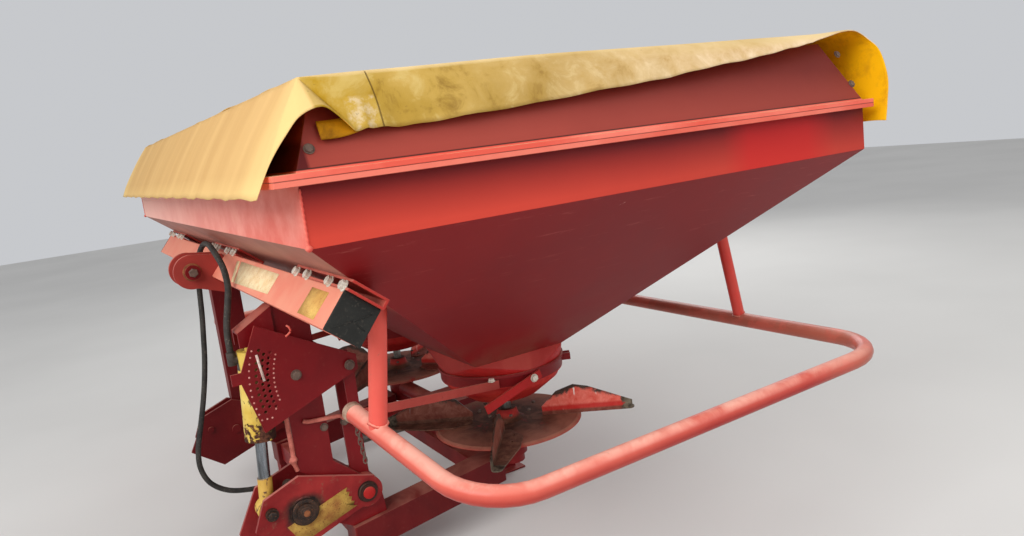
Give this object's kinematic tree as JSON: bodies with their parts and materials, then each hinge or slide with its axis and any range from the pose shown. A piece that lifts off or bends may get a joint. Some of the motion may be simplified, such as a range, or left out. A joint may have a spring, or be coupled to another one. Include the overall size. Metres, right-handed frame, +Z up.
{
  "type": "twin-disc fertiliser spreader",
  "caption": "Tractor-mounted fertiliser spreader: wide sheet-steel hopper under a cloth cover, spinning discs with vanes, tube guard and three-point headstock.",
  "frame": {"origin": "on the floor below the middle of the hopper", "axes": "+X to the machine's left, +Y to its rear, +Z up; the tractor is at -Y"},
  "size_m": [2.4424, 1.6069, 1.2743],
  "materials": {
    "hopper_paint": "faded red enamel, satin",
    "frame_paint": "red enamel, worn and dusty",
    "faded_paint": "red enamel faded to a chalky pink",
    "guard_paint": "red enamel, scratched",
    "disc_paint": "red enamel under brown dust",
    "vane_paint": "red enamel worn to steel at the tips",
    "yellow_paint": "yellow enamel, chipped and rusty",
    "cover_cloth": "coated cloth, sun-bleached ochre",
    "black_plastic": "moulded black plastic",
    "bare_steel": "plain steel",
    "greasy_steel": "steel dark with old grease",
    "hose_rubber": "black rubber hose"
  },
  "bodies": {
    "root": {"hopper": "hopper_paint", "hopper_sides": "hopper_paint", "hopper_ridge": "hopper_paint", "collar": "hopper_paint", "cover": "cover_cloth", "metering_collars": "hopper_paint", "metering_rings": "frame_paint", "metering_cup_left": "frame_paint", "metering_cup_right": "frame_paint", "shutter_levers": "frame_paint", "shutter_links": "faded_paint", "square_beam": "faded_paint", "beam_caps": "black_plastic", "beam_brackets": "faded_paint", "top_link_plates": "frame_paint", "top_link_pin": "bare_steel", "post_left": "frame_paint", "post_right": "frame_paint", "lower_beams": "frame_paint", "cross_members": "frame_paint", "side_bars": "frame_paint", "pivot_tubes": "faded_paint", "cylinder_channels": "frame_paint", "quadrant": "frame_paint", "quadrant_boss": "frame_paint", "setting_shaft": "frame_paint", "right_arm": "frame_paint", "guard_tube": "guard_paint", "guard_posts": "guard_paint", "rear_struts": "guard_paint", "front_feet": "frame_paint", "rear_feet": "frame_paint", "drive_housing": "frame_paint", "hydraulic_hose": "hose_rubber"},
    "left_rotor": {"disc_left": "disc_paint", "vanes_left": "vane_paint", "spindle_left": "bare_steel"},
    "right_rotor": {"disc_right": "disc_paint", "vanes_right": "vane_paint", "spindle_right": "bare_steel"},
    "input_shaft": {"input_stub": "bare_steel"},
    "lift_arms": {"arm_plates": "frame_paint", "link_pins": "greasy_steel"},
    "cylinders": {"lift_barrels": "yellow_paint"},
    "rods": {"lift_rods": "bare_steel"}
  },
  "joints": [
    {"name": "left_disc_spin", "type": "hinge", "parent": "root", "child": "left_rotor", "pos_m": [0.416, 0, 0.313], "axis": [0, 0, 1], "continuous": true},
    {"name": "right_disc_spin", "type": "hinge", "parent": "root", "child": "right_rotor", "pos_m": [-0.416, 0, 0.313], "axis": [0, 0, 1], "continuous": true},
    {"name": "input_spin", "type": "hinge", "parent": "root", "child": "input_shaft", "pos_m": [0, -0.2, 0.232], "axis": [0, 1, 0], "continuous": true},
    {"name": "arm_lift", "type": "hinge", "parent": "root", "child": "lift_arms", "pos_m": [0.408, -0.47, 0.256], "axis": [1, 0, 0], "range_deg": [0, 22]},
    {"name": "cylinder_swing", "type": "hinge", "parent": "root", "child": "cylinders", "pos_m": [0.408, -0.686, 0.732], "axis": [1, 0, 0], "range_deg": [-1, 3]},
    {"name": "rod_slide", "type": "slide", "parent": "cylinders", "child": "rods", "axis": [0, -0.0803, -0.9968], "range_m": [0, 0.13]}
  ],
  "couplings": [
    {"joint": "right_disc_spin", "follows": "left_disc_spin", "ratio": -1},
    {"joint": "input_spin", "follows": "left_disc_spin", "ratio": 0.75},
    {"joint": "cylinder_swing", "follows": "arm_lift", "ratio": 0.06},
    {"joint": "rod_slide", "follows": "arm_lift", "m_per_rad": 0.252}
  ]
}
